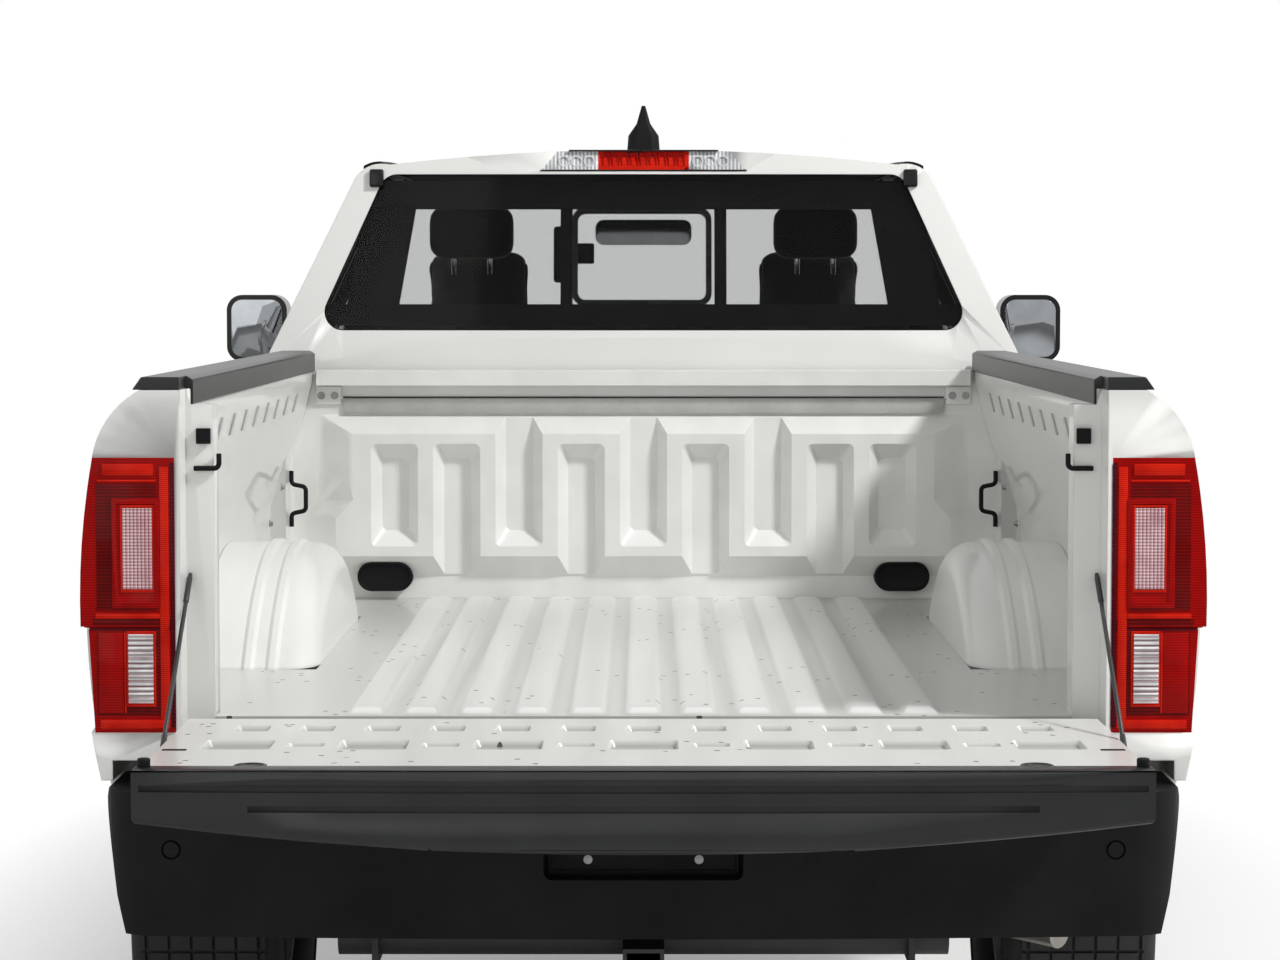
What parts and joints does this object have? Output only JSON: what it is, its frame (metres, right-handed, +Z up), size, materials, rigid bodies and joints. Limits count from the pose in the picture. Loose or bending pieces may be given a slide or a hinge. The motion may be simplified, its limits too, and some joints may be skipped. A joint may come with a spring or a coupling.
{
  "type": "pickup truck",
  "caption": "Extended-cab pickup truck with an open tailgate, a ribbed steel bed, opening doors and hood, and steered front wheels.",
  "frame": {"origin": "on the ground under the middle of the overall box, with the tailgate open", "axes": "+Y towards the tailgate, -Y towards the hood, +X towards the truck's left side, +Z up"},
  "size_m": [2.162, 5.813, 1.8892],
  "materials": {
    "white_paint": "gloss paint",
    "black_plastic": "grained",
    "cabin_trim": "grained",
    "seat_fabric": "woven",
    "frame_steel": "satin coating",
    "cast_block": "as cast",
    "tank_plastic": "moulded",
    "exhaust_steel": "dull",
    "tyre_rubber": "matte",
    "wheel_alloy": "painted alloy",
    "window_glass": "tinted",
    "red_lens": "gloss lens",
    "clear_lens": "gloss lens",
    "cable_steel": "coated cable"
  },
  "bodies": {
    "chassis": {"ladder_frame": "frame_steel", "rear_axle": "frame_steel", "rear_suspension": "frame_steel", "front_suspension": "frame_steel", "engine_block": "cast_block", "driveline": "cast_block", "fuel_tank": "tank_plastic", "exhaust": "exhaust_steel", "spare_wheel": "tyre_rubber", "tow_hitch": "frame_steel", "cab_shell": "white_paint", "windscreen": "window_glass", "rear_window": "window_glass", "high_brake_lamp": "red_lens", "front_wings": "white_paint", "front_bumper": "black_plastic", "grille": "black_plastic", "headlamps": "clear_lens", "bed_floor": "white_paint", "bed_front_wall": "white_paint", "bedside_left": "white_paint", "bedside_right": "white_paint", "wheelhouses": "white_paint", "rail_caps": "black_plastic", "tail_lamps": "red_lens", "rear_bumper": "black_plastic", "dashboard": "cabin_trim", "steering_wheel": "cabin_trim", "seats": "seat_fabric", "body_trim": "black_plastic", "bed_hardware": "black_plastic", "interior_mirror": "black_plastic", "tailgate_cables": "cable_steel"},
    "tailgate": {"tailgate_panel": "white_paint", "tailgate_cap": "black_plastic"},
    "hood": {"hood": "white_paint"},
    "front_door_left": {"front_door_left": "white_paint", "front_glass_left": "window_glass", "mirror_left": "black_plastic"},
    "rear_door_left": {"rear_door_left": "white_paint", "rear_glass_left": "window_glass"},
    "knuckle_left": {"knuckle_left": "frame_steel"},
    "front_wheel_left": {"front_tyre_left": "tyre_rubber", "front_rim_left": "wheel_alloy"},
    "rear_wheel_left": {"rear_tyre_left": "tyre_rubber", "rear_rim_left": "wheel_alloy"},
    "front_door_right": {"front_door_right": "white_paint", "front_glass_right": "window_glass", "mirror_right": "black_plastic"},
    "rear_door_right": {"rear_door_right": "white_paint", "rear_glass_right": "window_glass"},
    "knuckle_right": {"knuckle_right": "frame_steel"},
    "front_wheel_right": {"front_tyre_right": "tyre_rubber", "front_rim_right": "wheel_alloy"},
    "rear_wheel_right": {"rear_tyre_right": "tyre_rubber", "rear_rim_right": "wheel_alloy"}
  },
  "joints": [
    {"name": "tailgate_hinge", "type": "hinge", "parent": "chassis", "child": "tailgate", "pos_m": [0, 2.3265, 0.795], "axis": [1, 0, 0], "range_deg": [0, 90], "deforming": ["tailgate_cables"]},
    {"name": "hood_hinge", "type": "hinge", "parent": "chassis", "child": "hood", "pos_m": [0, -1.6575, 1.185], "axis": [-1, 0, 0], "range_deg": [0, 55]},
    {"name": "front_door_hinge_left", "type": "hinge", "parent": "chassis", "child": "front_door_left", "pos_m": [0.906, -1.3395, 0.85], "axis": [0, 0, -1], "range_deg": [0, 65]},
    {"name": "rear_door_hinge_left", "type": "hinge", "parent": "chassis", "child": "rear_door_left", "pos_m": [0.906, 0.1605, 0.85], "axis": [0, 0, 1], "range_deg": [0, 90]},
    {"name": "steering_left", "type": "hinge", "parent": "chassis", "child": "knuckle_left", "pos_m": [0.69, -1.9895, 0.388], "axis": [0, 0, 1], "range_deg": [-33, 33]},
    {"name": "front_wheel_spin_left", "type": "hinge", "parent": "knuckle_left", "child": "front_wheel_left", "pos_m": [0.78, -1.9895, 0.388], "axis": [1, 0, 0], "continuous": true},
    {"name": "rear_wheel_spin_left", "type": "hinge", "parent": "chassis", "child": "rear_wheel_left", "pos_m": [0.78, 1.2315, 0.388], "axis": [1, 0, 0], "continuous": true},
    {"name": "front_door_hinge_right", "type": "hinge", "parent": "chassis", "child": "front_door_right", "pos_m": [-0.906, -1.3395, 0.85], "axis": [0, 0, 1], "range_deg": [0, 65]},
    {"name": "rear_door_hinge_right", "type": "hinge", "parent": "chassis", "child": "rear_door_right", "pos_m": [-0.906, 0.1605, 0.85], "axis": [0, 0, -1], "range_deg": [0, 90]},
    {"name": "steering_right", "type": "hinge", "parent": "chassis", "child": "knuckle_right", "pos_m": [-0.69, -1.9895, 0.388], "axis": [0, 0, 1], "range_deg": [-33, 33]},
    {"name": "front_wheel_spin_right", "type": "hinge", "parent": "knuckle_right", "child": "front_wheel_right", "pos_m": [-0.78, -1.9895, 0.388], "axis": [1, 0, 0], "continuous": true},
    {"name": "rear_wheel_spin_right", "type": "hinge", "parent": "chassis", "child": "rear_wheel_right", "pos_m": [-0.78, 1.2315, 0.388], "axis": [1, 0, 0], "continuous": true}
  ],
  "couplings": [
    {"joint": "steering_right", "follows": "steering_left", "ratio": 1}
  ]
}
